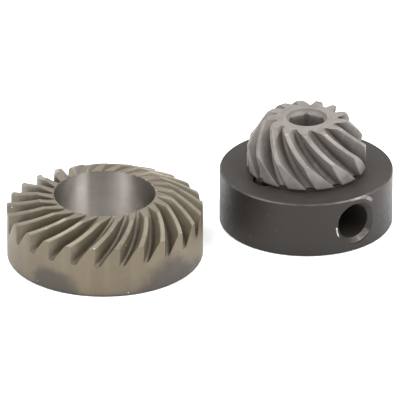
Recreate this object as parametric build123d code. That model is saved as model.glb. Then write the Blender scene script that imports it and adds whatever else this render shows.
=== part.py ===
from build123d import *
from dataclasses import dataclass
from math import acos, atan2, cos, degrees, hypot, pi, radians, sin, tan
import os

# A spiral bevel gear pair for shafts that cross at 90 degrees, with the collar that the pinion
# turns in. Millimetres, +Z up. The origin is on the ring gear's axis, at its flat back face.
# Both gears stand with their teeth up and their axes parallel, the pinion seated in its collar.

# Tooth system, shared by both gears
RING_TEETH = 25
PINION_TEETH = 13
OUTER_MODULE = 2.28  # transverse, at the outer cone distance
NORMAL_PRESSURE_ANGLE = radians(20)
MEAN_SPIRAL_ANGLE = radians(35)
CUTTER_RADIUS = 34.0  # the teeth are circular arcs lengthwise
WORKING_DEPTH = 1.70 * OUTER_MODULE
ROOT_CLEARANCE = 0.215 * OUTER_MODULE
RING_ADDENDUM = 0.5655 * OUTER_MODULE
PINION_ADDENDUM = WORKING_DEPTH - RING_ADDENDUM
RING_TOOTH_THICKNESS = 2.84  # at the pitch line, at the outer cone distance
BACKLASH = 0.12
RING_HEEL_RELIEF = 0.5  # the ring gear's gaps are this much deeper at the outer cone distance
RELIEF_START = 17.2  # cone distance where the relief begins

# Ring gear blank
RING_OUTER_RADIUS = 28.0
RING_BORE_RADIUS = 14.5
RING_HEEL_HEIGHT = 15.0  # tooth tips at the outer cylinder
RING_TOP_HEIGHT = 18.95  # flat annulus between the teeth's inner ends and the bore
RING_EDGE_CHAMFER = 0.4
RING_FIRST_TOOTH = -19.2  # degrees, a tooth's heel from +X

# Collar
COLLAR_CENTRE_X = 62.0
COLLAR_OUTER_RADIUS = 25.0
COLLAR_BORE_RADIUS = 14.0
COLLAR_HEIGHT = 16.5
COLLAR_EDGE_CHAMFER = 0.35
SCREW_HOLE_RADIUS = 5.1  # tapping size of an M12 thread
SCREW_HOLE_MOUTH_RADIUS = 6.4
SCREW_HOLE_HEIGHT = 8.5
SCREW_HOLE_DIRECTION = -76.8  # degrees from +X
NOTCH_RADIUS = 4.0
NOTCH_CENTRE_RADIUS = 14.4
NOTCH_DEPTH = 3.0
NOTCH_DIRECTION = -164.0  # degrees from +X

# Bush pressed in the collar, and thrust washer on it
BUSH_BORE_RADIUS = 12.03
BUSH_EDGE_CHAMFER = 0.4
BUSH_HOLE_RADIUS = 5.6  # clears the point of a screw in the collar's screw hole
WASHER_THICKNESS = 0.75
WASHER_INNER_RADIUS = 12.4
WASHER_OUTER_RADIUS = 16.5
TAB_WIDTH = 2.8
TAB_REACH = 17.4  # outer face of the bent tab, from the pinion's axis
TAB_DROP = 2.4  # how far the tab goes down into the collar's notch

# Pinion blank
PINION_OUTER_RADIUS = 17.1
PINION_BACK_HEIGHT = 17.3  # underside of the toothed head
PINION_HEEL_HEIGHT = 24.3  # tooth tips at the outer cylinder
PINION_TOP_HEIGHT = 32.3
TOE_CHAMFER_WIDTH = 0.9
TOE_CHAMFER_HEIGHT = 0.6
HUB_RADIUS = 12.0
HUB_BOTTOM = 0.3
HUB_CHAMFER = 0.5
HEX_ACROSS_FLATS = 9.8
HEX_CORNER_RADIUS = HEX_ACROSS_FLATS / 3**0.5
HEX_CORNER_DIRECTION = 68.7  # degrees from +X
PILOT_RADIUS = 5.05  # drilled before the hexagon is broached, so it shows at mid-flat
SOCKET_MOUTH_RADIUS = 5.9
SOCKET_MOUTH_STEP = 1.2
PINION_FIRST_TOOTH = -1.3  # degrees, a tooth's heel from +X

# Loft stations along the teeth
STATION_COUNT = 8
FLANK_POINTS = 5

OUTER_CONE_DISTANCE = OUTER_MODULE / 2 * hypot(RING_TEETH, PINION_TEETH)
MEAN_CONE_DISTANCE = 0.838 * OUTER_CONE_DISTANCE
PRESSURE_ANGLE = atan2(tan(NORMAL_PRESSURE_ANGLE), cos(MEAN_SPIRAL_ANGLE))  # transverse
OUTER_PITCH = pi * OUTER_MODULE
CUTTER_OFFSET = hypot(
    CUTTER_RADIUS * cos(MEAN_SPIRAL_ANGLE),
    MEAN_CONE_DISTANCE - CUTTER_RADIUS * sin(MEAN_SPIRAL_ANGLE),
)


@dataclass
class Toothing:
    """The teeth of one gear, whose pitch cone has its apex up, on the gear's axis."""

    teeth: int
    mate_teeth: int
    addendum: float
    mate_addendum: float
    thickness: float
    outer_radius: float
    heel_height: float
    hand: int  # +1 where the teeth turn counterclockwise from toe to heel, seen from above
    first_tooth: float
    heel_relief: float

    @property
    def cone(self):
        return atan2(self.teeth, self.mate_teeth)

    @property
    def dedendum(self):
        return self.mate_addendum + ROOT_CLEARANCE

    @property
    def face_angle(self):
        """Angle between the axis and the tooth tips."""
        mate_dedendum = self.addendum + ROOT_CLEARANCE
        return self.cone + atan2(mate_dedendum, OUTER_CONE_DISTANCE)

    @property
    def apex_height(self):
        tip_radius = OUTER_CONE_DISTANCE * sin(self.cone) + self.addendum * cos(self.cone)
        tip_drop = OUTER_CONE_DISTANCE * cos(self.cone) - self.addendum * sin(self.cone)
        turned_off = (tip_radius - self.outer_radius) / tan(self.face_angle)
        return self.heel_height + tip_drop - turned_off

    def root_ratio(self, cone_distance):
        """Height of the gap's floor above the pitch cone, over the cone distance."""
        run = (cone_distance - RELIEF_START) / (OUTER_CONE_DISTANCE - RELIEF_START)
        return -self.dedendum / OUTER_CONE_DISTANCE - self.heel_relief * run / cone_distance

    def face_radius(self, height):
        """Radius of the face cone at a height."""
        return self.outer_radius - (height - self.heel_height) * tan(self.face_angle)


RING = Toothing(
    RING_TEETH, PINION_TEETH, RING_ADDENDUM, PINION_ADDENDUM, RING_TOOTH_THICKNESS,
    RING_OUTER_RADIUS, RING_HEEL_HEIGHT, -1, RING_FIRST_TOOTH, RING_HEEL_RELIEF,
)
PINION = Toothing(
    PINION_TEETH, RING_TEETH, PINION_ADDENDUM, RING_ADDENDUM,
    OUTER_PITCH - RING_TOOTH_THICKNESS - BACKLASH,
    PINION_OUTER_RADIUS, PINION_HEEL_HEIGHT, 1, PINION_FIRST_TOOTH, 0.0,
)


def spiral_turn(cone_distance):
    """Angle on the crown gear of the tooth's centre line, an arc of the cutter's radius."""
    square = cone_distance**2 + CUTTER_OFFSET**2 - CUTTER_RADIUS**2
    return acos(square / (2 * cone_distance * CUTTER_OFFSET))


def involute(angle):
    return tan(angle) - angle


def gap_half_angle(toothing, ratio):
    """Half the gap between two teeth, seen on the developed back cone.

    ratio is the height above the pitch cone over the cone distance."""
    pitch = tan(toothing.cone)
    base = pitch * cos(PRESSURE_ANGLE)
    level = max(pitch + ratio, base)
    tooth = toothing.thickness / OUTER_CONE_DISTANCE / (2 * pitch)
    tooth += involute(PRESSURE_ANGLE) - involute(acos(base / level))
    half_pitch = pi / toothing.teeth * cos(toothing.cone)
    return half_pitch - tooth


def gap_point(toothing, cone_distance, ratio, side):
    """A point of a gap's flank, about the gear's axis with the apex as origin."""
    turn = -toothing.hand * spiral_turn(cone_distance) / sin(toothing.cone)
    turn += side * gap_half_angle(toothing, ratio) / cos(toothing.cone)
    radius = cone_distance * (sin(toothing.cone) + ratio * cos(toothing.cone))
    drop = cone_distance * (cos(toothing.cone) - ratio * sin(toothing.cone))
    return Vector(radius * cos(turn), radius * sin(turn), -drop)


def planar_point(toothing, station, ratio, side):
    """The flank's point at that ratio which lies in the station's flat section."""
    turn = -toothing.hand * spiral_turn(station) / sin(toothing.cone)
    normal = Vector(
        sin(toothing.cone) * cos(turn), sin(toothing.cone) * sin(turn), -cos(toothing.cone)
    )
    distance = station
    for _ in range(20):
        point = gap_point(toothing, distance, ratio, side)
        distance += station - point.dot(normal)
    return point


def gap_section(toothing, station):
    """Closed flat outline of a gap between two teeth: two flanks, a rounded root, an open top."""
    root_ratio = toothing.root_ratio(station)
    top_ratio = (toothing.addendum + 0.45 * OUTER_MODULE) / OUTER_CONE_DISTANCE
    flank_foot = root_ratio + 0.16 * OUTER_MODULE / OUTER_CONE_DISTANCE
    ratios = [
        flank_foot + (top_ratio - flank_foot) * i / (FLANK_POINTS - 1)
        for i in range(FLANK_POINTS)
    ]
    left = [planar_point(toothing, station, ratio, 1) for ratio in ratios]
    right = [planar_point(toothing, station, ratio, -1) for ratio in ratios]
    bottom = planar_point(toothing, station, root_ratio, 0)
    edges = [
        Edge.make_spline(left[::-1]),
        Edge.make_three_point_arc(left[0], bottom, right[0]),
        Edge.make_spline(right),
        Edge.make_line(right[-1], left[-1]),
    ]
    return Wire(edges)


def gap_cutter(toothing, inner_station, outer_station):
    """One gap between two teeth as a solid, with the pitch cone's apex at the origin."""
    step = (outer_station - inner_station) / (STATION_COUNT - 1)
    stations = [inner_station + step * i for i in range(STATION_COUNT)]
    return Solid.make_loft([gap_section(toothing, s) for s in stations])


def cut_teeth(blank, toothing, inner_station, outer_station):
    """Cuts every gap, with a tooth's heel at the toothing's first direction."""
    heel_turn = -toothing.hand * spiral_turn(OUTER_CONE_DISTANCE) / sin(toothing.cone)
    pitch = 360 / toothing.teeth
    start = toothing.first_tooth + pitch / 2 - degrees(heel_turn)
    cutter = gap_cutter(toothing, inner_station, outer_station)
    cutter = Pos(0, 0, toothing.apex_height) * cutter
    cutters = [Rot(0, 0, start + pitch * i) * cutter for i in range(toothing.teeth)]
    return blank.cut(*cutters).solid()


def turned(outline):
    """A solid turned about Z from (radius, height) points."""
    profile = make_face(Polyline(*[(radius, 0, height) for radius, height in outline], close=True))
    return revolve(profile, Axis.Z).solid()


def chamfered_cylinder(radius, bottom, top, chamfer_size):
    return turned([
        (0, bottom),
        (radius - chamfer_size, bottom),
        (radius, bottom + chamfer_size),
        (radius, top - chamfer_size),
        (radius - chamfer_size, top),
        (0, top),
    ])


def make_ring_gear():
    toe_radius = RING_OUTER_RADIUS - (RING_TOP_HEIGHT - RING_HEEL_HEIGHT) * tan(RING.face_angle)
    blank = turned([
        (RING_BORE_RADIUS + RING_EDGE_CHAMFER, 0),
        (RING_OUTER_RADIUS - RING_EDGE_CHAMFER, 0),
        (RING_OUTER_RADIUS, RING_EDGE_CHAMFER),
        (RING_OUTER_RADIUS, RING_HEEL_HEIGHT),
        (toe_radius, RING_TOP_HEIGHT),
        (RING_BORE_RADIUS, RING_TOP_HEIGHT),
        (RING_BORE_RADIUS, RING_EDGE_CHAMFER),
    ])
    inner_station = 0.9 * RING_BORE_RADIUS / sin(RING.cone)
    return cut_teeth(blank, RING, inner_station, 1.08 * OUTER_CONE_DISTANCE)


def hex_socket():
    """The hexagonal bore: broached hexagon, drilled pilot and a countersunk mouth."""
    length = PINION_TOP_HEIGHT + 2
    hexagon = Rot(0, 0, HEX_CORNER_DIRECTION) * RegularPolygon(HEX_CORNER_RADIUS, 6)
    socket = Pos(0, 0, -1) * extrude(hexagon, length)
    pilot = Pos(0, 0, -1) * Solid.make_cylinder(PILOT_RADIUS, length)
    top = PINION_TOP_HEIGHT
    mouth = turned([
        (0, top + 1),
        (SOCKET_MOUTH_RADIUS, top + 1),
        (SOCKET_MOUTH_RADIUS, top - 0.25),
        (SOCKET_MOUTH_RADIUS - 0.35, top - SOCKET_MOUTH_STEP),
        (PILOT_RADIUS - 0.25, top - 2 * SOCKET_MOUTH_STEP),
        (0, top - 2 * SOCKET_MOUTH_STEP),
    ])
    return socket.fuse(pilot, mouth)


def make_pinion():
    toe_edge_height = PINION_TOP_HEIGHT - TOE_CHAMFER_HEIGHT
    toe_edge_radius = PINION.face_radius(toe_edge_height)
    head = turned([
        (0, PINION_BACK_HEIGHT),
        (PINION_OUTER_RADIUS, PINION_BACK_HEIGHT),
        (PINION_OUTER_RADIUS, PINION_HEEL_HEIGHT),
        (toe_edge_radius, toe_edge_height),
        (toe_edge_radius - TOE_CHAMFER_WIDTH, PINION_TOP_HEIGHT),
        (0, PINION_TOP_HEIGHT),
    ])
    toe_drop = PINION.apex_height - PINION_TOP_HEIGHT
    back_drop = PINION.apex_height - PINION_BACK_HEIGHT
    inner_station = 0.86 * toe_drop / cos(PINION.cone)
    outer_station = 1.16 * back_drop / cos(PINION.cone)
    head = cut_teeth(head, PINION, inner_station, outer_station)
    hub = chamfered_cylinder(HUB_RADIUS, HUB_BOTTOM, PINION_BACK_HEIGHT + 1, HUB_CHAMFER)
    pinion = head.fuse(hub).cut(hex_socket())
    return Pos(COLLAR_CENTRE_X, 0, 0) * pinion


def toward_screw_hole():
    """Turns +Z outward along the screw hole's axis, from the collar's axis."""
    return Pos(0, 0, SCREW_HOLE_HEIGHT) * Rot(0, 0, SCREW_HOLE_DIRECTION) * Rot(0, 90, 0)


def make_collar():
    ring = chamfered_cylinder(COLLAR_OUTER_RADIUS, 0, COLLAR_HEIGHT, COLLAR_EDGE_CHAMFER)
    bore = Pos(0, 0, -1) * Solid.make_cylinder(COLLAR_BORE_RADIUS, COLLAR_HEIGHT + 2)
    mouth_depth = SCREW_HOLE_MOUTH_RADIUS - SCREW_HOLE_RADIUS
    hole = turned([
        (0, 0),
        (SCREW_HOLE_RADIUS, 0),
        (SCREW_HOLE_RADIUS, COLLAR_OUTER_RADIUS - mouth_depth - 0.6),
        (SCREW_HOLE_MOUTH_RADIUS, COLLAR_OUTER_RADIUS - 0.6),
        (SCREW_HOLE_MOUTH_RADIUS, COLLAR_OUTER_RADIUS + 1),
        (0, COLLAR_OUTER_RADIUS + 1),
    ])
    hole = toward_screw_hole() * hole
    notch = Pos(NOTCH_CENTRE_RADIUS, 0, COLLAR_HEIGHT - NOTCH_DEPTH)
    notch = Rot(0, 0, NOTCH_DIRECTION) * notch * Solid.make_cylinder(NOTCH_RADIUS, 2 * NOTCH_DEPTH)
    return Pos(COLLAR_CENTRE_X, 0, 0) * ring.cut(bore, hole, notch)


def make_pinion_bush():
    bush = chamfered_cylinder(COLLAR_BORE_RADIUS, 0.1, COLLAR_HEIGHT, BUSH_EDGE_CHAMFER)
    bore = Pos(0, 0, -1) * Solid.make_cylinder(BUSH_BORE_RADIUS, COLLAR_HEIGHT + 2)
    hole = toward_screw_hole() * Solid.make_cylinder(BUSH_HOLE_RADIUS, COLLAR_OUTER_RADIUS)
    return Pos(COLLAR_CENTRE_X, 0, 0) * bush.cut(bore, hole)


def make_thrust_washer():
    washer = Solid.make_cylinder(WASHER_OUTER_RADIUS, WASHER_THICKNESS)
    tongue_length = TAB_REACH - WASHER_OUTER_RADIUS + 1
    tongue = Pos(TAB_REACH - tongue_length / 2, 0, WASHER_THICKNESS / 2)
    tongue = tongue * Box(tongue_length, TAB_WIDTH, WASHER_THICKNESS)
    tab_height = WASHER_THICKNESS + TAB_DROP
    tab = Pos(TAB_REACH - WASHER_THICKNESS / 2, 0, WASHER_THICKNESS - tab_height / 2)
    tab = tab * Box(WASHER_THICKNESS, TAB_WIDTH, tab_height)
    hole = Pos(0, 0, -1) * Solid.make_cylinder(WASHER_INNER_RADIUS, WASHER_THICKNESS + 2)
    washer = washer.fuse(tongue, tab).clean().cut(hole)
    washer = Rot(0, 0, NOTCH_DIRECTION) * washer
    return Pos(COLLAR_CENTRE_X, 0, COLLAR_HEIGHT) * washer


PARTS = {
    "ring_gear": make_ring_gear,
    "pinion": make_pinion,
    "collar": make_collar,
    "pinion_bush": make_pinion_bush,
    "thrust_washer": make_thrust_washer,
}

os.makedirs("parts", exist_ok=True)
for node, make in PARTS.items():
    export_step(make(), f"parts/{node}.step")
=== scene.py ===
from math import acos, atan2, cos, hypot, pi, radians, sin, tan

import bmesh
import bpy
import numpy as np
from mathutils import Matrix, Vector


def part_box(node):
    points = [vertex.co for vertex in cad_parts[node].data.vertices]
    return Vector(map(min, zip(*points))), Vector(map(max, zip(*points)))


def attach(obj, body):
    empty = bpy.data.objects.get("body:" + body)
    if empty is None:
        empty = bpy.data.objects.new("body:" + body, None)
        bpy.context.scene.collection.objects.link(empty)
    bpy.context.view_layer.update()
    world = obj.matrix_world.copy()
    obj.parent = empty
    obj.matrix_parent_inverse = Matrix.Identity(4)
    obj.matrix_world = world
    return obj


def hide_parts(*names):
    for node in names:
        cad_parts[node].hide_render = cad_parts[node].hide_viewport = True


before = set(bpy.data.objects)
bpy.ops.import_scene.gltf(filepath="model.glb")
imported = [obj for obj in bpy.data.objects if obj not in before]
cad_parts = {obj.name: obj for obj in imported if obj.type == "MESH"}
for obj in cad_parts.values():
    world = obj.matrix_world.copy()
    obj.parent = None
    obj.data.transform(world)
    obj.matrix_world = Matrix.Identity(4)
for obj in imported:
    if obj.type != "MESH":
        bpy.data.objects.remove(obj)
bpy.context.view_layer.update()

MM = 0.001

# The tooth system that both gears share
RING_TEETH = 25
PINION_TEETH = 13
OUTER_MODULE = 2.28 * MM
NORMAL_PRESSURE_ANGLE = radians(20)
MEAN_SPIRAL_ANGLE = radians(35)
CUTTER_RADIUS = 34.0 * MM
RING_ADDENDUM = 0.5655 * OUTER_MODULE
PINION_ADDENDUM = 1.1345 * OUTER_MODULE
ROOT_CLEARANCE = 0.215 * OUTER_MODULE
ROOT_ROUNDING = 0.16 * OUTER_MODULE
RING_TOOTH_THICKNESS = 2.84 * MM
BACKLASH = 0.12 * MM
RING_HEEL_RELIEF = 0.5 * MM
RELIEF_START = 17.2 * MM
OUTER_CONE_DISTANCE = OUTER_MODULE / 2 * hypot(RING_TEETH, PINION_TEETH)
MEAN_CONE_DISTANCE = 0.838 * OUTER_CONE_DISTANCE
PRESSURE_ANGLE = atan2(tan(NORMAL_PRESSURE_ANGLE), cos(MEAN_SPIRAL_ANGLE))
ROOT_FOOT = ROOT_ROUNDING / OUTER_CONE_DISTANCE
CUTTER_OFFSET = hypot(
    CUTTER_RADIUS * cos(MEAN_SPIRAL_ANGLE),
    MEAN_CONE_DISTANCE - CUTTER_RADIUS * sin(MEAN_SPIRAL_ANGLE),
)

# Heights and radii on the blanks that the frame's boxes don't give
RING_BORE_RADIUS = 14.5 * MM
RING_HEEL_HEIGHT = 15.0 * MM
RING_FIRST_TOOTH = radians(-19.2)
PINION_HEEL_HEIGHT = 24.3 * MM
PINION_BACK_HEIGHT = 17.3 * MM
PINION_FIRST_TOOTH = radians(-1.3)
TOE_CHAMFER_WIDTH = 0.9 * MM
TOE_CHAMFER_HEIGHT = 0.6 * MM
HUB_RADIUS = 12.0 * MM
CROWN_RADIUS = 7.4 * MM
HEX_HALF_FLATS = 4.9 * MM
HEX_CORNER_DIRECTION = radians(68.7)
PILOT_RADIUS = 5.05 * MM
MOUTH_RADIUS = 5.9 * MM
MOUTH_STEP = 1.2 * MM  # height of each step of the socket's countersink
BLANK_CHAMFER = 0.4 * MM
EDGE_ROUNDING = 0.13 * MM
RING_TIP_ROUNDING = 0.3 * MM  # worn tooth tips
BORE_CHAMFER = 0.45 * MM  # at the top of the ring gear's bore
BORE_MARGIN = 0.02 * MM  # a face whose middle is no further out is part of the bore
SIDE_START = 0.4 * MM  # the outer cylinder's first plain row lies this far under the gaps
HUB_FILLET = 0.3 * MM  # between the hub and the underside of the teeth
SOCKET_FOOT = 0.3 * MM  # chamfer at the socket's lower end
MOUTH_LIP = 0.25 * MM  # height of the chamfer on the socket's rim
STEP_INSET = 0.35 * MM  # the countersink narrows by this over its first step
PILOT_INSET = 0.25 * MM  # and ends this far inside the pilot
KNEE_GAP = 0.03 * MM  # least height between two rows of the countersink
SOCKET_START = 3.0 * MM  # below the pinion's top, where the socket's straight walls begin
SHARP_ANGLE = radians(38)  # edges sharper than this are shaded as corners

# Mesh density of one tooth pitch
FLANK_COLUMNS = 7
ROOT_COLUMNS = 5
LAND_COLUMNS = 4  # from the middle of a tooth's top to its edge
PITCH_COLUMNS = 2 * (FLANK_COLUMNS + ROOT_COLUMNS + LAND_COLUMNS)

# Rows of the meshes, surface by surface
RING_FACE_ROWS = 36
RING_FLAT_ROWS = 15
RING_BORE_ROWS = 16
RING_BACK_ROWS = 7
RING_SIDE_ROWS = 9
PINION_SIDE_ROWS = 14
PINION_FACE_ROWS = 22
UNDERSIDE_ROWS = 6
CROWN_ROWS = 8
MOUTH_ROWS = 6
SOCKET_ROWS = 16
FOOT_ROWS = 7
HUB_ROWS = 14


def spiral_turn(cone_distance):
    """Angle on the crown gear of a tooth's centre line, an arc of the cutter's radius."""
    square = cone_distance**2 + CUTTER_OFFSET**2 - CUTTER_RADIUS**2
    return acos(min(1.0, square / (2 * cone_distance * CUTTER_OFFSET)))


def involute(angle):
    return tan(angle) - angle


class Toothing:
    """The teeth of one gear, whose pitch cone has its apex up, on the gear's axis."""

    def __init__(self, teeth, mate_teeth, addendum, mate_addendum, thickness, hand, first_tooth,
                 outer_radius, heel_height, heel_relief):
        self.teeth = teeth
        self.thickness = thickness
        self.hand = hand
        self.outer_radius = outer_radius
        self.heel_height = heel_height
        self.cone = atan2(teeth, mate_teeth)
        relief = heel_relief / (OUTER_CONE_DISTANCE - RELIEF_START)
        self.root_slope = (mate_addendum + ROOT_CLEARANCE) / OUTER_CONE_DISTANCE + relief
        self.root_offset = relief * RELIEF_START
        mate_dedendum = addendum + ROOT_CLEARANCE
        self.face_angle = self.cone + atan2(mate_dedendum, OUTER_CONE_DISTANCE)
        tip_radius = OUTER_CONE_DISTANCE * sin(self.cone) + addendum * cos(self.cone)
        tip_drop = OUTER_CONE_DISTANCE * cos(self.cone) - addendum * sin(self.cone)
        turned_off = (tip_radius - outer_radius) / tan(self.face_angle)
        self.apex = heel_height + tip_drop - turned_off
        heel_turn = -hand * spiral_turn(OUTER_CONE_DISTANCE) / sin(self.cone)
        self.start = first_tooth + pi / teeth - heel_turn

    def face_radius(self, height):
        return self.outer_radius - (height - self.heel_height) * tan(self.face_angle)

    def face_height(self, radius):
        return self.heel_height + (self.outer_radius - radius) / tan(self.face_angle)

    def flank_half_angle(self, ratio):
        pitch = tan(self.cone)
        base = pitch * cos(PRESSURE_ANGLE)
        level = max(pitch + ratio, base)
        tooth = self.thickness / OUTER_CONE_DISTANCE / (2 * pitch)
        tooth += involute(PRESSURE_ANGLE) - involute(acos(base / level))
        return pi / self.teeth - tooth / cos(self.cone)

    def root_ratio(self, radius=None, height=None):
        """Height of the gap's floor above the pitch cone, over the cone distance."""
        if radius is None:
            along = cos(self.cone) + self.root_slope * sin(self.cone)
            distance = (self.apex - height + self.root_offset * sin(self.cone)) / along
        else:
            across = sin(self.cone) - self.root_slope * cos(self.cone)
            distance = (radius - self.root_offset * cos(self.cone)) / across
        return self.root_offset / distance - self.root_slope

    def gap_half_angle(self, ratio, root):
        """Half the gap's angle about the axis, rounded off towards the root."""
        foot = root + ROOT_FOOT
        if ratio >= foot:
            return self.flank_half_angle(ratio)
        depth = max(0.0, ratio - root) / ROOT_FOOT
        return self.flank_half_angle(foot) * depth**0.5

    def ratio_at(self, radius, height):
        """Height above the pitch cone over cone distance, at a point of the blank."""
        drop = self.apex - height
        along = radius * sin(self.cone) + drop * cos(self.cone)
        above = radius * cos(self.cone) - drop * sin(self.cone)
        return above / along

    def gap_point(self, ratio, side, root, radius=None, height=None):
        """A point of the gap's surface at a fixed radius or at a fixed height."""
        across = sin(self.cone) + ratio * cos(self.cone)
        along = cos(self.cone) - ratio * sin(self.cone)
        if radius is None:
            distance = (self.apex - height) / along
        else:
            distance = radius / across
        turn = self.start - self.hand * spiral_turn(distance) / sin(self.cone)
        turn += side * self.gap_half_angle(ratio, root)
        return distance * across, turn, self.apex - distance * along


def spread(start, end, count):
    """Values from start to end, with start and without end."""
    return [start + (end - start) * i / count for i in range(count)]


def gap_ratios(root, edge_ratio):
    """Heights of the columns from a tooth's edge down to the middle of the gap."""
    foot = root + ROOT_FOOT
    count = FLANK_COLUMNS + ROOT_COLUMNS
    if edge_ratio <= foot:
        start = ((edge_ratio - root) / ROOT_FOOT) ** 0.5
        return [root + ROOT_FOOT * (start * (1 - i / count)) ** 2 for i in range(count + 1)]
    flank = spread(edge_ratio, foot, FLANK_COLUMNS)
    fillet = [root + ROOT_FOOT * (1 - i / ROOT_COLUMNS) ** 2 for i in range(ROOT_COLUMNS + 1)]
    return flank + fillet


def pitch_row(toothing, radius, height, fixed):
    """One row over a tooth pitch, from tooth middle to tooth middle, as (radius, turn, height).

    The row stays at its radius or at its height, as fixed says."""
    held = {"radius": radius} if fixed == "radius" else {"height": height}
    root = toothing.root_ratio(**held)
    edge_ratio = max(toothing.ratio_at(radius, height), root + 1e-4)
    ratios = gap_ratios(root, edge_ratio)
    left = [toothing.gap_point(ratio, -1, root, **held) for ratio in ratios]
    right = [toothing.gap_point(ratio, 1, root, **held) for ratio in ratios[-2::-1]]
    middle = toothing.gap_point(edge_ratio, 0, root, **held)[1]
    first, last = middle - pi / toothing.teeth, middle + pi / toothing.teeth
    before = [(radius, turn, height) for turn in spread(first, left[0][1], LAND_COLUMNS)]
    after = [(radius, turn, height) for turn in spread(last, right[-1][1], LAND_COLUMNS)[::-1]]
    return before + left + right + after


def turned_row(radius, height, turns):
    """A plain turned row with the same columns as a toothed one."""
    return [(radius, turn, height) for turn in turns]


def fanned_turns(row):
    """Directions for a plain row next to a toothed one: flanks share the tooth's width."""
    foot = LAND_COLUMNS + FLANK_COLUMNS
    first, left = row[0][1], row[foot][1]
    right, last = row[PITCH_COLUMNS - foot][1], row[-1][1]
    turns = spread(first, left, foot) + spread(left, right, 2 * ROOT_COLUMNS)
    return turns + spread(right, last, foot) + [last]


def between(first, last, share):
    """A row part of the way from one row to another."""
    return [tuple(a + (b - a) * share for a, b in zip(p, q)) for p, q in zip(first, last)]


def to_points(rows):
    polar = np.array(rows)
    radius, turn, height = polar[..., 0], polar[..., 1], polar[..., 2]
    return np.stack([radius * np.cos(turn), radius * np.sin(turn), height], axis=-1)


def soften(points, index, reach):
    """Replaces one sharp row of a grid by three that round it off."""
    corner = points[index]
    before = points[index - 1] - corner
    after = points[(index + 1) % len(points)] - corner
    length_before = np.linalg.norm(before, axis=-1, keepdims=True) + 1e-9
    length_after = np.linalg.norm(after, axis=-1, keepdims=True) + 1e-9
    back = before * np.minimum(reach / length_before, 0.45)
    ahead = after * np.minimum(reach / length_after, 0.45)
    rounded = np.stack([corner + back, corner + 0.25 * (back + ahead), corner + ahead])
    return np.concatenate([points[:index], rounded, points[index + 1:]])


def soften_rows(points, sharp, reach):
    for index in sorted(sharp, reverse=True):
        points = soften(points, index, reach)
    return points


def soften_tooth_edges(pitch_points, reach):
    """Rounds off the two edges of the tooth tops within one pitch."""
    edges = {LAND_COLUMNS, PITCH_COLUMNS - LAND_COLUMNS}
    columns_first = pitch_points.transpose(1, 0, 2)
    return soften_rows(columns_first, edges, reach).transpose(1, 0, 2)


def whole_turn(pitch_points, teeth):
    """Repeats one pitch about the axis; the pitch's last column is the next one's first."""
    copies = []
    for i in range(teeth):
        turn = 2 * pi * i / teeth
        spin = np.array([[cos(turn), -sin(turn), 0], [sin(turn), cos(turn), 0], [0, 0, 1]])
        copies.append(pitch_points[:, :-1] @ spin.T)
    return np.concatenate(copies, axis=1)


def torus_mesh(name, points, centre):
    """A closed mesh from a grid of points that wraps round both ways."""
    rows, columns = points.shape[:2]
    row, column = np.meshgrid(np.arange(rows), np.arange(columns), indexing="ij")
    below, right = (row + 1) % rows, (column + 1) % columns
    faces = np.stack(
        [
            row * columns + column,
            row * columns + right,
            below * columns + right,
            below * columns + column,
        ],
        axis=-1,
    ).reshape(-1, 4)
    mesh = bpy.data.meshes.new(name)
    verts = points.reshape(-1, 3) + np.array(centre)
    mesh.from_pydata(verts.tolist(), [], faces.tolist())
    mesh.validate()
    mesh.update()
    outward = bmesh.new()
    outward.from_mesh(mesh)
    bmesh.ops.recalc_face_normals(outward, faces=outward.faces)
    outward.to_mesh(mesh)
    outward.free()
    piece = bpy.data.objects.new(name, mesh)
    bpy.context.scene.collection.objects.link(piece)
    return piece


# ---- Ring gear ----

def ring_gear_points(low, high):
    """The ring gear's surface: toothed face, flat top, bore, back and outer cylinder."""
    outer, bore = RING.outer_radius, RING_BORE_RADIUS
    toe_radius = outer - (high - RING.heel_height) * tan(RING.face_angle)
    face_radii = np.linspace(outer, toe_radius, RING_FACE_ROWS)
    flat_radii = np.linspace(toe_radius, bore, RING_FLAT_ROWS)[1:]
    face = [pitch_row(RING, r, RING.face_height(r), "radius") for r in face_radii]
    flat = [pitch_row(RING, r, high, "radius") for r in flat_radii]
    heel_turns = fanned_turns(face[0])
    bore_top = turned_row(bore, high - BORE_CHAMFER, [turn for _, turn, _ in flat[-1]])
    bore_end = turned_row(bore, low + BLANK_CHAMFER, heel_turns)
    wall = [between(bore_top, bore_end, share) for share in np.linspace(0, 1, RING_BORE_ROWS)]
    back_radii = np.linspace(bore + BLANK_CHAMFER, outer - BLANK_CHAMFER, RING_BACK_ROWS)
    back = [turned_row(r, low, heel_turns) for r in back_radii]
    side_end = min(height for _, _, height in face[0]) - SIDE_START
    side_heights = np.linspace(low + BLANK_CHAMFER, side_end, RING_SIDE_ROWS)
    side = [turned_row(outer, z, heel_turns) for z in side_heights]
    rows = face + flat + wall + back + side
    ends = np.cumsum([len(face), len(flat), len(wall), len(back)])
    points = soften_tooth_edges(to_points(rows), RING_TIP_ROUNDING)
    sharp = {0, ends[0] - 1, ends[1] - 1, ends[2] - 1, ends[2], ends[3] - 1, ends[3]}
    return whole_turn(soften_rows(points, sharp, EDGE_ROUNDING), RING_TEETH)


# ---- Pinion ----

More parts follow.
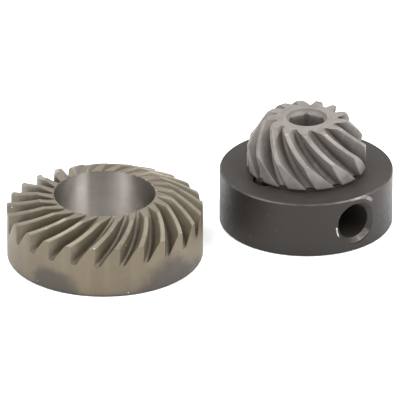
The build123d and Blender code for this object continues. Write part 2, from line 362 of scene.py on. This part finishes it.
def socket_columns(count, first_turn):
    """Directions and radii round the socket: a hexagon, with a drilled pilot at mid-flat.

    A column meets each corner and each cusp, and the first lies next to first_turn."""
    cusp = acos(HEX_HALF_FLATS / PILOT_RADIUS)
    half = count // 12
    on_pilot = round(half * cusp / radians(30))
    rise = spread(0, cusp, on_pilot) + spread(cusp, radians(30), half - on_pilot)
    side = rise + [radians(30)] + [radians(60) - a for a in rise[:0:-1]]
    first_flat = HEX_CORNER_DIRECTION - radians(30)
    turns = np.array([radians(60) * k + a for k in range(6) for a in side])
    nearest = np.argmin(abs((turns + first_flat - first_turn + pi) % (2 * pi) - pi))
    from_flat = np.minimum(turns % radians(60), -turns % radians(60))
    radii = np.maximum(HEX_HALF_FLATS / np.cos(from_flat), PILOT_RADIUS)
    turns = np.roll(turns, -nearest)
    turns[count - nearest:] += 2 * pi
    turns += first_flat
    turns += 2 * pi * round((first_turn - turns[0]) / (2 * pi))
    return turns, np.roll(radii, -nearest)


def polar(points):
    """Radius, direction and height of one row of points."""
    turn = np.unwrap(np.arctan2(points[:, 1], points[:, 0]))
    return np.stack([np.hypot(points[:, 0], points[:, 1]), turn, points[:, 2]], axis=-1)


def turned(radius, height, turns):
    """A row at these directions, whose radius and height may each be one value or many."""
    radius = np.broadcast_to(radius, turns.shape)
    return np.stack([radius, turns, np.broadcast_to(height, turns.shape)], axis=-1)


def pinion_points(low, high):
    """The pinion's surface: socket, hub, underside, toothed head and flat top."""
    toe_edge = high - TOE_CHAMFER_HEIGHT
    toe_radius = PINION.face_radius(toe_edge)
    heel, back = PINION_HEEL_HEIGHT, PINION_BACK_HEIGHT
    outline = [(PINION.outer_radius, z) for z in np.linspace(back, heel, PINION_SIDE_ROWS)]
    face_heights = np.linspace(heel, toe_edge, PINION_FACE_ROWS)[1:]
    outline += [(PINION.face_radius(z), z) for z in face_heights]
    for share in (0.5, 1):
        radius = toe_radius - TOE_CHAMFER_WIDTH * share
        outline.append((radius, toe_edge + TOE_CHAMFER_HEIGHT * share))
    rows = [pitch_row(PINION, r, z, "height") for r, z in outline]
    fillet = turned_row(HUB_RADIUS + HUB_FILLET, back, fanned_turns(rows[0]))
    under_shares = np.linspace(0, 1, UNDERSIDE_ROWS)[:-1]
    under = [between(fillet, rows[0], share) for share in under_shares]
    crown_ring = turned_row(CROWN_RADIUS, high, fanned_turns(rows[-1]))
    crown_shares = np.linspace(0, 1, CROWN_ROWS)[1:]
    crown = [between(rows[-1], crown_ring, share) for share in crown_shares]
    head = to_points(under + rows + crown)
    head = whole_turn(soften_tooth_edges(head, EDGE_ROUNDING), PINION_TEETH)
    top, bottom = polar(head[-1]), polar(head[0])
    bottom[:, 1] += 2 * pi * round((top[0, 1] - bottom[0, 1]) / (2 * pi))
    turns, socket = socket_columns(len(top), top[0, 1])
    mouth = turned(MOUTH_RADIUS, high, turns)
    annulus = [top + (mouth - top) * share for share in np.linspace(0, 1, MOUTH_ROWS)[1:]]
    step_radii = (PILOT_RADIUS - PILOT_INSET, MOUTH_RADIUS - STEP_INSET, MOUTH_RADIUS)
    step_heights = (high - 2 * MOUTH_STEP, high - MOUTH_STEP, high - MOUTH_LIP)
    meeting = np.interp(socket, step_radii, step_heights)
    knee = np.maximum(high - MOUTH_STEP, meeting + KNEE_GAP)
    knee_radius = np.interp(knee, step_heights, step_radii)
    socket_rows = [
        turned(MOUTH_RADIUS, high - MOUTH_LIP, turns),
        turned(knee_radius, knee, turns),
        turned(socket, meeting, turns),
    ]
    wall_heights = np.linspace(high - SOCKET_START, low + SOCKET_FOOT, SOCKET_ROWS)
    socket_rows += [turned(socket, z, turns) for z in wall_heights]
    socket_rows.append(turned(socket + SOCKET_FOOT, low, turns))
    rim = turned(HUB_RADIUS - BLANK_CHAMFER, low, bottom[:, 1])
    inner = socket_rows[-1]
    foot = [inner + (rim - inner) * share for share in np.linspace(0, 1, FOOT_ROWS)[1:]]
    hub_heights = np.linspace(low + BLANK_CHAMFER, back - HUB_FILLET, HUB_ROWS)
    hub = [turned(HUB_RADIUS, z, bottom[:, 1]) for z in hub_heights]
    points = np.concatenate([head, to_points(annulus + socket_rows + foot + hub)])
    back_edge, toe_row = len(under), len(under) + len(outline) - 1
    heel_edge = back_edge + PINION_SIDE_ROWS - 1
    mouth_edge = len(head) + len(annulus) - 1
    sharp = {back_edge, heel_edge, toe_row - 2, toe_row, mouth_edge}
    return soften_rows(points, sharp, EDGE_ROUNDING)


# ---- The two gears in the frame ----

RING = Toothing(
    RING_TEETH, PINION_TEETH, RING_ADDENDUM, PINION_ADDENDUM, RING_TOOTH_THICKNESS, -1,
    RING_FIRST_TOOTH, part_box("ring_gear")[1][0], RING_HEEL_HEIGHT, RING_HEEL_RELIEF,
)
PINION = Toothing(
    PINION_TEETH, RING_TEETH, PINION_ADDENDUM, RING_ADDENDUM,
    pi * OUTER_MODULE - RING_TOOTH_THICKNESS - BACKLASH, 1, PINION_FIRST_TOOTH,
    (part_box("pinion")[1][0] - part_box("pinion")[0][0]) / 2, PINION_HEEL_HEIGHT, 0.0,
)


def vertical_axis(node):
    low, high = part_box(node)
    return (low[0] + high[0]) / 2, (low[1] + high[1]) / 2, 0.0


RING_AXIS = (0.0, 0.0, 0.0)
COLLAR_AXIS = vertical_axis("collar")


# ---- Materials ----

class Nodes:
    """Short names for the node chains that the materials share."""

    def __init__(self, name):
        self.material = bpy.data.materials.new(name)
        self.material.use_nodes = True
        self.tree = self.material.node_tree
        self.shader = self.tree.nodes["Principled BSDF"]
        coordinates = self.tree.nodes.new("ShaderNodeTexCoord")
        self.place = coordinates.outputs["Object"]

    def add(self, kind, inputs, **settings):
        node = self.tree.nodes.new(kind)
        for key, value in settings.items():
            setattr(node, key, value)
        for key, value in inputs.items():
            if isinstance(value, bpy.types.NodeSocket):
                self.tree.links.new(value, node.inputs[key])
            else:
                node.inputs[key].default_value = value
        return node

    def math(self, operation, *values):
        inputs = dict(enumerate(values))
        return self.add("ShaderNodeMath", inputs, operation=operation).outputs[0]

    def weighted(self, first, first_share, second, second_share):
        first_part = self.math("MULTIPLY", first, first_share)
        return self.math("ADD", first_part, self.math("MULTIPLY", second, second_share))

    def ramp(self, value, low, high, start=0.0, end=1.0):
        """Turns low..high smoothly into start..end, and stays at the ends outside it."""
        inputs = {"Value": value, "From Min": low, "From Max": high, "To Min": start, "To Max": end}
        node = self.add("ShaderNodeMapRange", inputs, interpolation_type="SMOOTHSTEP")
        return node.outputs["Result"]

    def noise(self, scale, detail, place=None):
        inputs = {"Vector": place or self.place, "Scale": scale, "Detail": detail, "Roughness": 0.55}
        return self.add("ShaderNodeTexNoise", inputs).outputs["Fac"]

    def lathe_marks(self, frequency, detail, *lengths):
        """Fine turned grooves: a noise that changes only with the lengths given."""
        scaled = {i: self.math("MULTIPLY", length, frequency) for i, length in enumerate(lengths)}
        place = self.add("ShaderNodeCombineXYZ", scaled).outputs[0]
        return self.noise(1.0, detail, place)

    def ragged(self, depth, noise, width):
        """A depth that a noise shifts up and down within a width, so that its edge wavers."""
        return self.math("ADD", depth, self.math("MULTIPLY_ADD", noise, width, -width / 2))

    def specks(self, scale, share, size):
        """Small round spots in a share of the cells of a random grid."""
        inputs = {"Vector": self.place, "Scale": scale, "Randomness": 1.0}
        cells = self.add("ShaderNodeTexVoronoi", inputs)
        near = self.ramp(cells.outputs["Distance"], size * scale * 0.7, size * scale, 1.0, 0.0)
        draw = self.add("ShaderNodeSeparateXYZ", {0: cells.outputs["Color"]}).outputs[0]
        pick = self.math("GREATER_THAN", draw, 1 - share)
        return self.math("MULTIPLY", near, pick)

    def stretched(self, factors):
        """The object's coordinates, scaled per axis."""
        inputs = {"Vector": self.place, "Scale": factors}
        return self.add("ShaderNodeMapping", inputs).outputs["Vector"]

    def mix(self, share, first, second):
        node = self.add("ShaderNodeMix", {}, data_type="RGBA")
        colour_inputs = [n for n in node.inputs if n.type == "RGBA"]
        sockets = (node.inputs[0], colour_inputs[0], colour_inputs[1])
        for socket, value in zip(sockets, (share, first, second)):
            if isinstance(value, bpy.types.NodeSocket):
                self.tree.links.new(value, socket)
            else:
                socket.default_value = value if socket.type == "VALUE" else (*value, 1)
        return [n for n in node.outputs if n.type == "RGBA"][0]

    def speckled(self, colour, spot_colour, scale, share, size):
        """A colour with small bright nicks in it."""
        return self.mix(self.specks(scale, share, size), colour, spot_colour)

    def about(self, centre):
        """Distance from a vertical axis, height and direction of the shaded point."""
        inputs = {0: self.place, 1: centre}
        local = self.add("ShaderNodeVectorMath", inputs, operation="SUBTRACT").outputs[0]
        parts = self.add("ShaderNodeSeparateXYZ", {0: local}).outputs
        flat = self.add("ShaderNodeCombineXYZ", {0: parts[0], 1: parts[1]}).outputs[0]
        radius = self.add("ShaderNodeVectorMath", {0: flat}, operation="LENGTH").outputs["Value"]
        return radius, parts[2], self.math("ARCTAN2", parts[1], parts[0])

    def patch(self, turn, height, direction, level, half_turn, half_height, place_noise):
        """A soft, uneven spot on an outer cylinder, 1 inside and 0 outside."""
        across = self.math("DIVIDE", self.math("SUBTRACT", turn, direction), half_turn)
        along = self.math("DIVIDE", self.math("SUBTRACT", height, level), half_height)
        along_square = self.math("MULTIPLY", along, along)
        square = self.math("ADD", self.math("MULTIPLY", across, across), along_square)
        wobble = self.math("MULTIPLY", self.math("SUBTRACT", place_noise, 0.5), 2.2)
        return self.ramp(self.math("ADD", square, wobble), 0.3, 1.5, 1.0, 0.0)

    def screw_hole_glints(self, radius, height, turn):
        """Painted glints on stretches of the edge of the collar's screw hole, on its front only."""
        away = self.math("SUBTRACT", turn, SCREW_HOLE_DIRECTION)
        across = self.math("MULTIPLY", self.math("SINE", away), radius)
        rise = self.math("SUBTRACT", height, SCREW_HOLE_HEIGHT)
        flat = self.add("ShaderNodeCombineXYZ", {0: across, 1: rise}).outputs[0]
        span = self.add("ShaderNodeVectorMath", {0: flat}, operation="LENGTH").outputs["Value"]
        about_hole = self.math("ARCTAN2", rise, across)
        glints = 0.0
        for middle_turn, half_turn, inner, outer, start_radius, share in SCREW_HOLE_GLINTS:
            off = self.math("ABSOLUTE", self.math("SUBTRACT", about_hole, middle_turn))
            arc = self.ramp(off, half_turn * 0.5, half_turn, share, 0.0)
            from_inside = self.ramp(span, inner - GLINT_EDGE, inner)
            to_outside = self.ramp(span, outer, outer + GLINT_EDGE, 1.0, 0.0)
            band = self.math("MULTIPLY", from_inside, to_outside)
            reach = self.ramp(radius, start_radius, start_radius + 0.1 * MM)
            spot = self.math("MULTIPLY", self.math("MULTIPLY", arc, band), reach)
            glints = self.math("MAXIMUM", glints, spot)
        forward = self.math("MULTIPLY", self.math("COSINE", away), radius)
        front = self.ramp(forward, *GLINT_FRONT)
        uneven = self.ramp(self.noise(700, 3), 0.3, 0.6, 0.5, 1.0)
        return self.math("MULTIPLY", self.math("MULTIPLY", glints, front), uneven)

    def finish(self, colour, roughness, height, bump_distance, metallic):
        inputs = {"Height": height, "Distance": bump_distance, "Strength": 1.0}
        normal = self.add("ShaderNodeBump", inputs).outputs["Normal"]
        self.tree.links.new(colour, self.shader.inputs["Base Color"])
        self.tree.links.new(roughness, self.shader.inputs["Roughness"])
        self.tree.links.new(normal, self.shader.inputs["Normal"])
        self.shader.inputs["Metallic"].default_value = metallic
        return self.material


def from_srgb(red, green, blue):
    """A scene-linear colour from the usual 0-255 values."""
    shares = (red / 255, green / 255, blue / 255)
    return tuple(s / 12.92 if s <= 0.04045 else ((s + 0.055) / 1.055) ** 2.4 for s in shares)


RING_FLANK = from_srgb(94, 86, 72)
RING_FLANK_DARK = from_srgb(84, 76, 62)
RING_ROOT_SHADE = from_srgb(76, 68, 56)
RING_LAND = from_srgb(96, 89, 76)
RING_LAND_BRIGHT = from_srgb(115, 108, 94)
RING_STAIN = from_srgb(80, 71, 57)
RING_SIDE = from_srgb(97, 87, 71)
RING_SIDE_DARK = from_srgb(87, 77, 62)
RING_SIDE_BRIGHT = from_srgb(109, 100, 84)
RING_OXIDE = from_srgb(58, 52, 48)
RING_FOOT_SHADE = from_srgb(44, 39, 35)
RING_BORE = from_srgb(156, 150, 145)
RING_BORE_DARK = from_srgb(140, 134, 129)
SPECK = from_srgb(200, 195, 186)
PINION_FLANK = from_srgb(105, 100, 96)
PINION_FLANK_DARK = from_srgb(92, 87, 83)
PINION_ROOT_SHADE = from_srgb(76, 70, 66)
PINION_LAND = from_srgb(108, 103, 99)
PINION_LAND_BRIGHT = from_srgb(127, 122, 118)
PINION_STAIN = from_srgb(92, 86, 81)
PINION_SHADE = from_srgb(98, 91, 86)
COLLAR = from_srgb(54, 50, 46)
COLLAR_DARK = from_srgb(46, 42, 39)
COLLAR_LIGHT = from_srgb(60, 55, 52)
COLLAR_SIDE_SHADE = from_srgb(36, 32, 30)
COLLAR_RIM_WEAR_AND_HIGHLIGHT = from_srgb(84, 79, 75)
COLLAR_SPECK = from_srgb(120, 114, 108)
COLLAR_GLINT = from_srgb(190, 186, 182)
BRONZE_DARK = (0.05, 0.03, 0.016)
BRONZE = (0.12, 0.07, 0.034)
BRONZE_BRIGHT = (0.2, 0.125, 0.06)
WASHER_DARK = (0.018, 0.016, 0.015)
WASHER = (0.05, 0.046, 0.042)
WASHER_EDGE = (0.07, 0.064, 0.058)

# Where the painted highlight in the pinion's mouth and the painted shade in its socket fade out, and
# the washer's edge fades in
MOUTH_HIGHLIGHT_HEIGHTS = (30.2 * MM, 30.8 * MM)
SOCKET_SHADE_HEIGHTS = (29.6 * MM, 30.4 * MM)
WASHER_EDGE_RADII = (16.2 * MM, 16.45 * MM)

# The collar's screw hole and the painted glints on stretches of its edge:
# middle, half turn, two radii about the hole, first radius about the collar, share of painted glint
SCREW_HOLE_DIRECTION = radians(-76.8)
SCREW_HOLE_HEIGHT = 8.5 * MM
GLINT_FRONT = (20 * MM, 21 * MM)  # none behind the first distance toward the hole's mouth
GLINT_EDGE = 0.12 * MM
INSIDE_HOLE = 22.5 * MM  # painted glint that reaches down into the hole
ON_OUTSIDE = 24.6 * MM  # painted glint on the outer cylinder alone
SCREW_HOLE_GLINTS = (
    (radians(-172), radians(24), 6.25 * MM, 6.55 * MM, INSIDE_HOLE, 0.8),
    (radians(-58), radians(26), 5.2 * MM, 6.3 * MM, INSIDE_HOLE, 0.16),
    (radians(72), radians(36), 7.5 * MM, 8.4 * MM, ON_OUTSIDE, 0.28),
)

# Oxide spots left on the ring gear's outer cylinder: direction, height, half sizes
OXIDE_PATCHES = (
    (radians(-142), 0.0 * MM, radians(16), 6.6 * MM),
    (radians(-74), 0.0 * MM, radians(24), 8.6 * MM),
    (radians(-52), 0.0 * MM, radians(22), 4.8 * MM),
    (radians(60), 1.0 * MM, radians(24), 4.5 * MM),
)


def ring_gear_steel():
    n = Nodes("Ring_gear_steel")
    radius, height, turn = n.about(RING_AXIS)
    cloud = n.noise(70, 4)
    fine = n.noise(900, 3)
    grain = n.noise(3200, 2)
    slope = 1 / tan(RING.face_angle)
    face = n.math("MULTIPLY_ADD", radius, -slope, RING.heel_height + RING.outer_radius * slope)
    face = n.math("MINIMUM", face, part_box("ring_gear")[1][2])
    depth = n.math("SUBTRACT", face, height)
    land = n.ramp(n.ragged(depth, fine, 0.3 * MM), 0.12 * MM, 0.5 * MM, 1.0, 0.0)
    # painted shade: darker deeper in the tooth gaps, towards the roots
    root = n.ramp(depth, 1.6 * MM, 4.3 * MM)
    outside = n.ramp(radius, RING.outer_radius - 0.12 * MM, RING.outer_radius - 0.04 * MM)
    outside = n.math("MAXIMUM", outside, n.ramp(height, 0.6 * MM, 0.8 * MM, 1.0, 0.0))
    flank = n.mix(cloud, RING_FLANK_DARK, RING_FLANK)
    colour = n.mix(n.math("MULTIPLY", root, 0.6), flank, RING_ROOT_SHADE)
    # tooth tops lighter: worn steel, partly a painted highlight where they face the light
    colour = n.mix(land, colour, n.mix(fine, RING_LAND, RING_LAND_BRIGHT))
    stain = n.noise(260, 5)
    colour = n.mix(n.ramp(stain, 0.45, 0.75, 0.0, 0.45), colour, RING_STAIN)
    colour = n.mix(n.ramp(stain, 0.28, 0.45, 0.3, 0.0), colour, RING_LAND_BRIGHT)
    side = n.mix(n.ramp(cloud, 0.3, 0.7), RING_SIDE_DARK, RING_SIDE)
    streaks = n.noise(260, 3, n.stretched((1, 1, 0.12)))
    side = n.mix(n.ramp(streaks, 0.35, 0.75, 0.0, 0.35), side, RING_SIDE_BRIGHT)
    blotch = n.noise(120, 4)
    for direction, level, wide, tall in OXIDE_PATCHES:
        spot = n.patch(turn, height, direction, level, wide, tall, blotch)
        side = n.mix(n.math("MULTIPLY", spot, 0.9), side, RING_OXIDE)
    # the outer cylinder darker towards its bottom, and painted shade in a thin line along its foot
    # at the floor
    side = n.mix(n.ramp(height, 0.2 * MM, 1.6 * MM, 0.55, 0.0), side, RING_OXIDE)
    side = n.mix(n.ramp(height, 0.35 * MM, 0.6 * MM, 0.8, 0.0), side, RING_FOOT_SHADE)
    colour = n.mix(outside, colour, side)
    bore_rim = n.ramp(radius, RING_BORE_RADIUS + 0.3 * MM, RING_BORE_RADIUS + 0.9 * MM, 1.0, 0.0)
    burrs = n.ramp(n.noise(1500, 2), 0.52, 0.62, 0.0, 0.7)
    colour = n.mix(n.math("MULTIPLY", bore_rim, burrs), colour, RING_STAIN)
    colour = n.speckled(colour, SPECK, 330, 0.5, 0.2 * MM)
    roughness = n.ramp(n.weighted(cloud, 0.6, fine, 0.4), 0.3, 0.7, 0.42, 0.6)
    roughness = n.math("SUBTRACT", roughness, n.math("MULTIPLY", land, 0.08))
    relief = n.weighted(grain, 0.5, fine, 0.8)
    return n.finish(colour, roughness, relief, 0.03 * MM, 0.4)


def ground_bore():
    """Bright ground steel, with fine marks round the bore that stretch its reflections."""
    n = Nodes("Ring_gear_ground_bore")
    _, height, _ = n.about(RING_AXIS)
    rounds = n.lathe_marks(2200, 3, height)
    cloud = n.noise(110, 4)
    colour = n.mix(n.ramp(cloud, 0.3, 0.7), RING_BORE_DARK, RING_BORE)
    colour = n.mix(n.ramp(rounds, 0.55, 0.8, 0.0, 0.3), colour, RING_OXIDE)
    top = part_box("ring_gear")[1][2]
    edge = n.ramp(height, top - 0.5 * MM, top, 0.0, 0.5)
    colour = n.mix(edge, colour, RING_LAND)
    roughness = n.ramp(cloud, 0.3, 0.7, 0.33, 0.37)
    n.shader.inputs["Anisotropic"].default_value = 1.0
    n.shader.inputs["Anisotropic Rotation"].default_value = 0.25
    around = n.add("ShaderNodeTangent", {}, direction_type="RADIAL", axis="Z")
    n.tree.links.new(around.outputs["Tangent"], n.shader.inputs["Tangent"])
    return n.finish(colour, roughness, rounds, 0.0006 * MM, 0.95)


def pinion_steel(axis):
    n = Nodes("Pinion_steel")
    radius, height, _ = n.about(axis)
    cloud = n.noise(90, 4)
    fine = n.noise(1100, 3)
    grain = n.noise(3600, 2)
    slope = tan(PINION.face_angle)
    face = n.math("MULTIPLY_ADD", height, -slope, PINION.outer_radius + PINION.heel_height * slope)
    face = n.math("MINIMUM", face, PINION.outer_radius)
    depth = n.math("SUBTRACT", face, radius)
    land = n.ramp(n.ragged(depth, fine, 0.3 * MM), 0.1 * MM, 0.4 * MM, 1.0, 0.0)
    # painted shade: darker deeper in the tooth gaps, towards the roots
    root = n.ramp(depth, 1.2 * MM, 3.6 * MM)
    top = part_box("pinion")[1][2]
    crown = n.ramp(height, top - 0.12 * MM, top - 0.03 * MM)
    colour = n.mix(cloud, PINION_FLANK_DARK, PINION_FLANK)
    colour = n.mix(n.math("MULTIPLY", root, 0.65), colour, PINION_ROOT_SHADE)
    stain = n.noise(240, 5)
    streak = n.noise(420, 4, n.stretched((1, 1, 0.3)))
    # tooth tops and the flat top lighter: worn steel, partly a painted highlight where they face the
    # light
    worn_and_lit_top = n.mix(fine, PINION_LAND, PINION_LAND_BRIGHT)
    colour = n.mix(n.math("MAXIMUM", land, crown), colour, worn_and_lit_top)
    colour = n.mix(n.ramp(stain, 0.42, 0.72, 0.0, 0.55), colour, PINION_STAIN)
    colour = n.mix(n.ramp(streak, 0.55, 0.75, 0.0, 0.45), colour, PINION_LAND_BRIGHT)
    # painted highlight on the socket's mouth, where light falls in
    in_mouth = n.ramp(radius, MOUTH_RADIUS, MOUTH_RADIUS + 0.2 * MM, 1.0, 0.0)
    mouth = n.math("MULTIPLY", in_mouth, n.ramp(height, *MOUTH_HIGHLIGHT_HEIGHTS))
    colour = n.mix(mouth, colour, PINION_LAND_BRIGHT)
    # painted shade deeper in the socket
    in_socket = n.ramp(radius, MOUTH_RADIUS - 0.2 * MM, MOUTH_RADIUS - 0.05 * MM, 1.0, 0.0)
    socket = n.math("MULTIPLY", in_socket, n.ramp(height, *SOCKET_SHADE_HEIGHTS, 1.0, 0.0))
    colour = n.mix(socket, colour, PINION_SHADE)
    # painted shade on the hub, under the teeth
    hub = n.ramp(height, PINION_BACK_HEIGHT + 0.1 * MM, PINION_BACK_HEIGHT + 0.4 * MM, 1.0, 0.0)
    colour = n.mix(n.math("MULTIPLY", hub, 0.7), colour, PINION_SHADE)
    colour = n.speckled(colour, SPECK, 330, 0.45, 0.17 * MM)
    roughness = n.ramp(fine, 0.3, 0.7, 0.48, 0.64)
    roughness = n.math("SUBTRACT", roughness, n.math("MULTIPLY", land, 0.06))
    relief = n.weighted(grain, 0.6, fine, 0.8)
    return n.finish(colour, roughness, relief, 0.03 * MM, 0.35)


def black_oxide(axis):
    n = Nodes("Collar_black_oxide")
    radius, height, turn = n.about(axis)
    cloud = n.noise(60, 5)
    fine = n.noise(800, 3)
    rings = n.lathe_marks(2600, 2, radius, height)
    colour = n.mix(n.ramp(cloud, 0.3, 0.7), COLLAR_DARK, COLLAR)
    colour = n.mix(n.ramp(fine, 0.45, 0.8, 0.0, 0.35), colour, COLLAR_LIGHT)
    low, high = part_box("collar")
    outer = (high[0] - low[0]) / 2
    # painted shade: the outer cylinder darker than the top
    side = n.ramp(radius, outer - 0.12 * MM, outer - 0.03 * MM, 0.0, 0.75)
    colour = n.mix(side, colour, COLLAR_SIDE_SHADE)
    # worn rim, partly a painted highlight along the collar's top edge
    rim = n.math("ADD", n.math("SUBTRACT", radius, outer), n.math("SUBTRACT", height, high[2]))
    rim = n.ramp(n.ragged(rim, n.noise(300, 3), 0.5 * MM), -0.52 * MM, -0.28 * MM)
    rim = n.math("MULTIPLY", rim, n.ramp(n.noise(45, 3), 0.38, 0.62, 0.1, 0.7))
    colour = n.mix(rim, colour, COLLAR_RIM_WEAR_AND_HIGHLIGHT)
    # painted glints on the screw hole's edge, on its front only
    colour = n.mix(n.screw_hole_glints(radius, height, turn), colour, COLLAR_GLINT)
    colour = n.speckled(colour, COLLAR_SPECK, 300, 0.5, 0.16 * MM)
    roughness = n.ramp(n.weighted(cloud, 0.5, fine, 0.5), 0.3, 0.7, 0.38, 0.52)
    relief = n.weighted(rings, 0.6, fine, 0.4)
    n.shader.inputs["Specular IOR Level"].default_value = 0.25
    return n.finish(colour, roughness, relief, 0.012 * MM, 0.3)


def bronze(axis):
    n = Nodes("Bush_bronze")
    radius, height, _ = n.about(axis)
    rings = n.lathe_marks(3000, 2, radius, height)
    cloud = n.noise(150, 4)
    colour = n.mix(cloud, BRONZE_DARK, BRONZE)
    colour = n.mix(n.ramp(rings, 0.45, 0.75, 0.0, 0.4), colour, BRONZE_BRIGHT)
    roughness = n.ramp(cloud, 0.3, 0.7, 0.28, 0.45)
    return n.finish(colour, roughness, rings, 0.01 * MM, 0.95)


def washer_steel(axis):
    n = Nodes("Washer_steel")
    radius, _, _ = n.about(axis)
    cloud = n.noise(200, 4)
    fine = n.noise(1500, 3)
    colour = n.mix(cloud, WASHER_DARK, WASHER)
    edge = n.ramp(radius, *WASHER_EDGE_RADII, 0.0, 0.5)
    colour = n.mix(edge, colour, WASHER_EDGE)
    roughness = n.ramp(fine, 0.3, 0.7, 0.35, 0.55)
    return n.finish(colour, roughness, fine, 0.01 * MM, 0.7)


# ---- Pieces ----

ring_low, ring_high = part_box("ring_gear")
ring_gear = torus_mesh("Ring_gear", ring_gear_points(ring_low[2], ring_high[2]), RING_AXIS)
ring_gear.data.materials.append(ring_gear_steel())
ring_gear.data.materials.append(ground_bore())
for face in ring_gear.data.polygons:
    in_bore = hypot(face.center.x, face.center.y) < RING_BORE_RADIUS + BORE_MARGIN
    face.material_index = int(in_bore)
pinion_low, pinion_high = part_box("pinion")
pinion = torus_mesh("Pinion", pinion_points(pinion_low[2], pinion_high[2]), COLLAR_AXIS)
pinion.data.materials.append(pinion_steel(COLLAR_AXIS))
for piece in (ring_gear, pinion):
    piece.data.shade_smooth()
    piece.data.set_sharp_from_angle(angle=SHARP_ANGLE)

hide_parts("ring_gear")
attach(ring_gear, "ring_gear_body")
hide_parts("pinion")
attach(pinion, "pinion_body")

CARRIED_OVER = {
    "collar": black_oxide(COLLAR_AXIS),
    "pinion_bush": bronze(COLLAR_AXIS),
    "thrust_washer": washer_steel(COLLAR_AXIS),
}
for node, material in CARRIED_OVER.items():
    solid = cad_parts[node]
    for material_slot in solid.material_slots:
        material_slot.material = material


# ---- Floor, light and camera ----

CAMERA_TARGET = Vector((0.03775, 0.02216, 0.0))
CAMERA_DISTANCE = 1.802
CAMERA_AZIMUTH = radians(-21.26)
CAMERA_ELEVATION = radians(26.12)
LENS = 557.2
TO_THE_RIGHT = Vector((cos(CAMERA_AZIMUTH), sin(CAMERA_AZIMUTH), 0))
TOWARD_CAMERA = Vector((sin(CAMERA_AZIMUTH), -cos(CAMERA_AZIMUTH), 0))

FLOOR_HALF = 3.0
FLOOR_LEVEL = -0.02 * MM  # just under the pieces, so no two faces share a plane

LIGHT_CENTRE = Vector((0.035, 0, 0.015))
LIGHT_AIM = Vector((0.03, 0, 0.01))
# Place from LIGHT_CENTRE, to the right, up and toward the camera; width and height; power
LIGHTS = {
    "Right_strip": ((0.62, 0.82, 0.0), (0.09, 1.2), 13),
    "Left_softbox": ((-0.42, 0.9, 0.0), (0.42, 1.2), 10),
    "Front_left": ((-0.7, 0.4, 0.6), (0.5, 0.5), 3),
    "Front_right": ((0.75, 0.35, 0.6), (0.4, 0.5), 3),
}

away = TOWARD_CAMERA * cos(CAMERA_ELEVATION)
away.z = sin(CAMERA_ELEVATION)
camera_data = bpy.data.cameras.new("Camera")
camera_data.sensor_width = 36
camera_data.lens = LENS
camera_data.clip_end = 20
camera = bpy.data.objects.new("Camera", camera_data)
camera.location = CAMERA_TARGET + away * CAMERA_DISTANCE
camera.rotation_euler = (-away).to_track_quat("-Z", "Y").to_euler()
bpy.context.scene.collection.objects.link(camera)
bpy.context.scene.camera = camera


def area_light(name, place, size, power):
    """A rectangular light that faces LIGHT_AIM, with its width level as the camera sees it."""
    data = bpy.data.lights.new(name, "AREA")
    data.shape = "RECTANGLE"
    data.size, data.size_y = size
    data.energy = power
    light = bpy.data.objects.new(name, data)
    light.location = place
    back = (place - LIGHT_AIM).normalized()
    across = (-TOWARD_CAMERA).cross(back).normalized()
    light.rotation_euler = Matrix((across, back.cross(across), back)).transposed().to_euler()
    bpy.context.scene.collection.objects.link(light)


floor_mesh = bpy.data.meshes.new("Floor")
around = ((-1, -1), (1, -1), (1, 1), (-1, 1))
floor_corners = [(x * FLOOR_HALF, y * FLOOR_HALF, FLOOR_LEVEL) for x, y in around]
floor_mesh.from_pydata(floor_corners, [], [(0, 1, 2, 3)])
floor = bpy.data.objects.new("Floor", floor_mesh)
bpy.context.scene.collection.objects.link(floor)
floor_material = bpy.data.materials.new("Floor_paper")
floor_material.use_nodes = True
floor_shader = floor_material.node_tree.nodes["Principled BSDF"]
floor_shader.inputs["Base Color"].default_value = (0.97, 0.97, 0.97, 1)
floor_shader.inputs["Roughness"].default_value = 0.9
floor_shader.inputs["Emission Color"].default_value = (1, 1, 1, 1)
floor_shader.inputs["Emission Strength"].default_value = 0.07
floor_mesh.materials.append(floor_material)

world = bpy.data.worlds.new("Studio")
bpy.context.scene.world = world
world.use_nodes = True
world.node_tree.nodes["Background"].inputs["Color"].default_value = (1, 1, 1, 1)
world.node_tree.nodes["Background"].inputs["Strength"].default_value = 0.85

for name, ((sideways, up, toward), size, power) in LIGHTS.items():
    place = LIGHT_CENTRE + TO_THE_RIGHT * sideways + TOWARD_CAMERA * toward + Vector((0, 0, up))
    area_light(name, place, size, power)

bpy.context.scene.view_settings.view_transform = "Standard"
